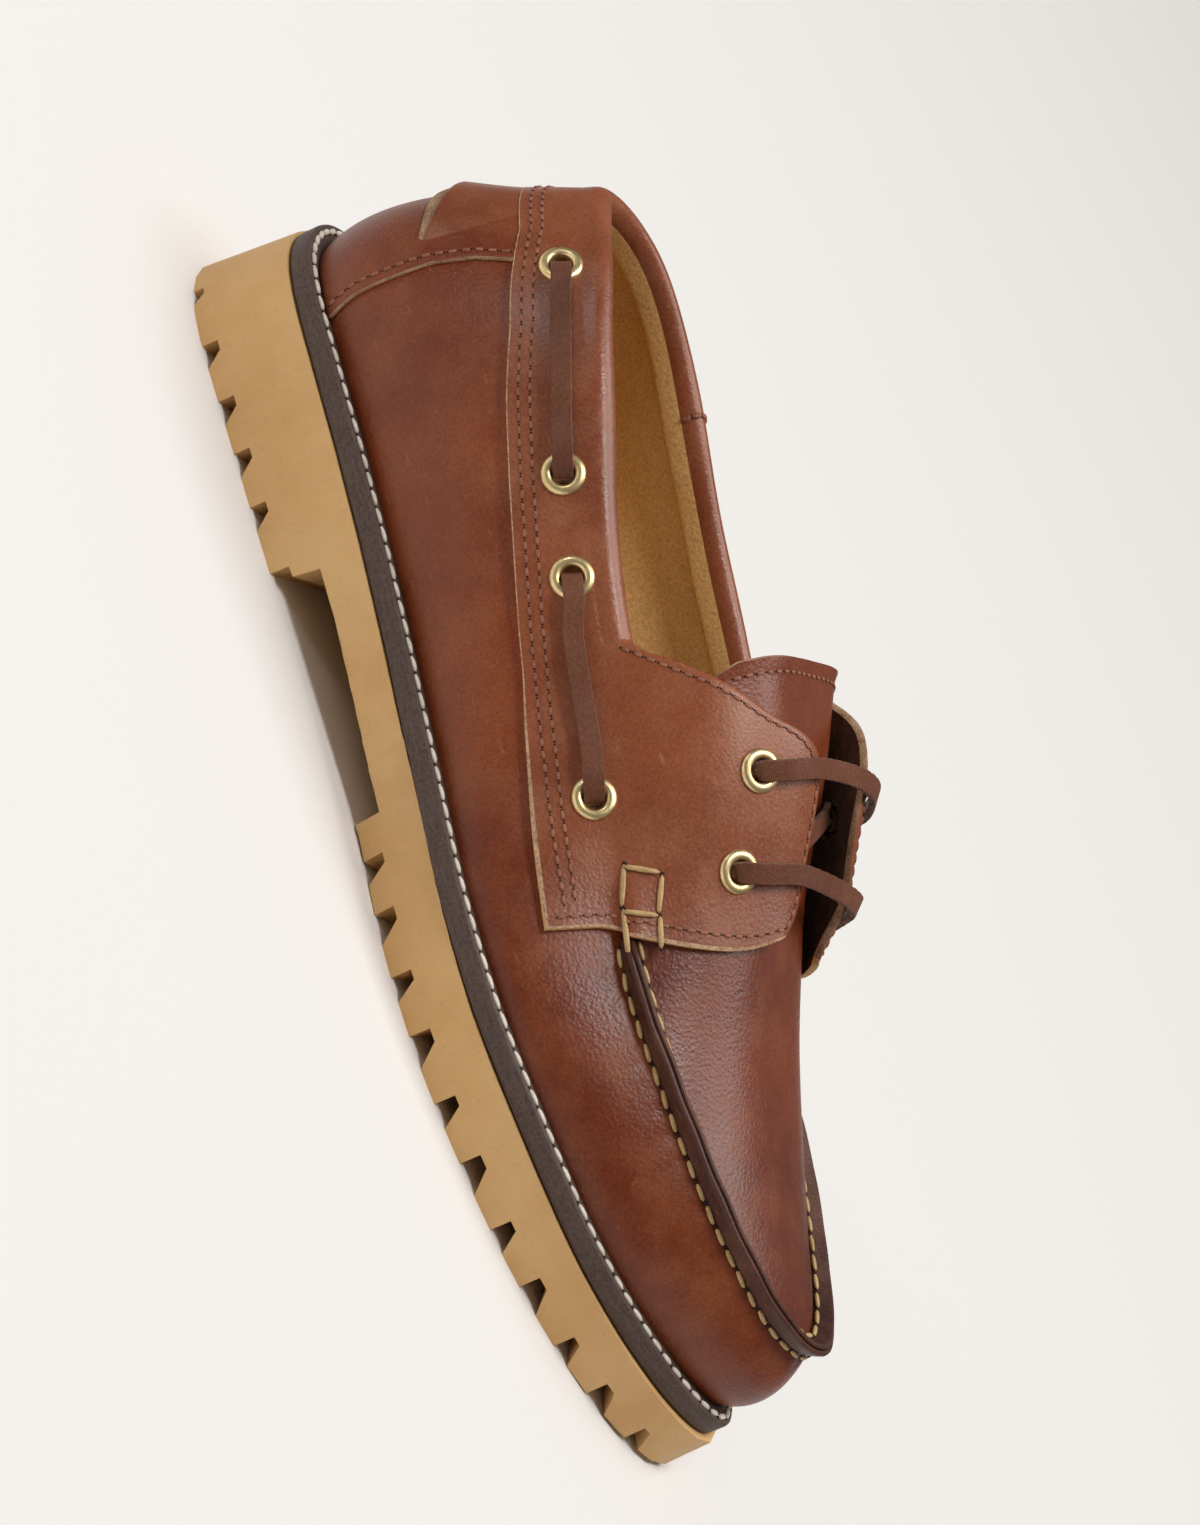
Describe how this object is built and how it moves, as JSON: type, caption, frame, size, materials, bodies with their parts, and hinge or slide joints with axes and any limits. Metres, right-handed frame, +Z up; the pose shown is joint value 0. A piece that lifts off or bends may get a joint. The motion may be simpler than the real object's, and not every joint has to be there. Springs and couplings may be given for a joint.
{
  "type": "boat moccasin",
  "caption": "Right-foot lace-up boat moccasin with side-laced saddle, raised apron seam and thick lugged rubber sole, standing empty on its sole.",
  "frame": {"origin": "middle of the footprint, on the floor", "axes": "+X from heel to toe, +Y to the inner side of the foot, +Z up"},
  "size_m": [0.311, 0.1129, 0.1047],
  "materials": {
    "leather": "oiled pull-up leather, soft gloss",
    "seam_leather": "dark folded leather edge",
    "lace_leather": "rawhide lace, waxed",
    "sock_leather": "matte sock leather",
    "welt": "dark storm welt",
    "gum": "matte gum rubber",
    "brass": "satin"
  },
  "bodies": {
    "root": {"outsole": "gum", "welt": "welt", "insole": "sock_leather", "upper": "leather", "saddle": "leather", "heel_counter": "leather", "heel_loop": "leather", "collar_roll": "leather", "moc_seam": "seam_leather", "tongue": "leather", "eyelet_lateral_heel": "brass", "eyelet_lateral_waist_back": "brass", "eyelet_lateral_waist_front": "brass", "eyelet_lateral_instep": "brass", "eyelet_lateral_flap_high": "brass", "eyelet_lateral_flap_low": "brass", "eyelet_medial_heel": "brass", "eyelet_medial_waist_back": "brass", "eyelet_medial_waist_front": "brass", "eyelet_medial_instep": "brass", "eyelet_medial_flap_high": "brass", "eyelet_medial_flap_low": "brass", "side_lace_lateral_heel": "lace_leather", "side_lace_lateral_waist_front": "lace_leather", "side_lace_medial_heel": "lace_leather", "side_lace_medial_waist_front": "lace_leather", "front_lace_flap_high": "lace_leather", "front_lace_flap_low": "lace_leather", "lace_crossing": "lace_leather"}
  },
  "joints": []
}
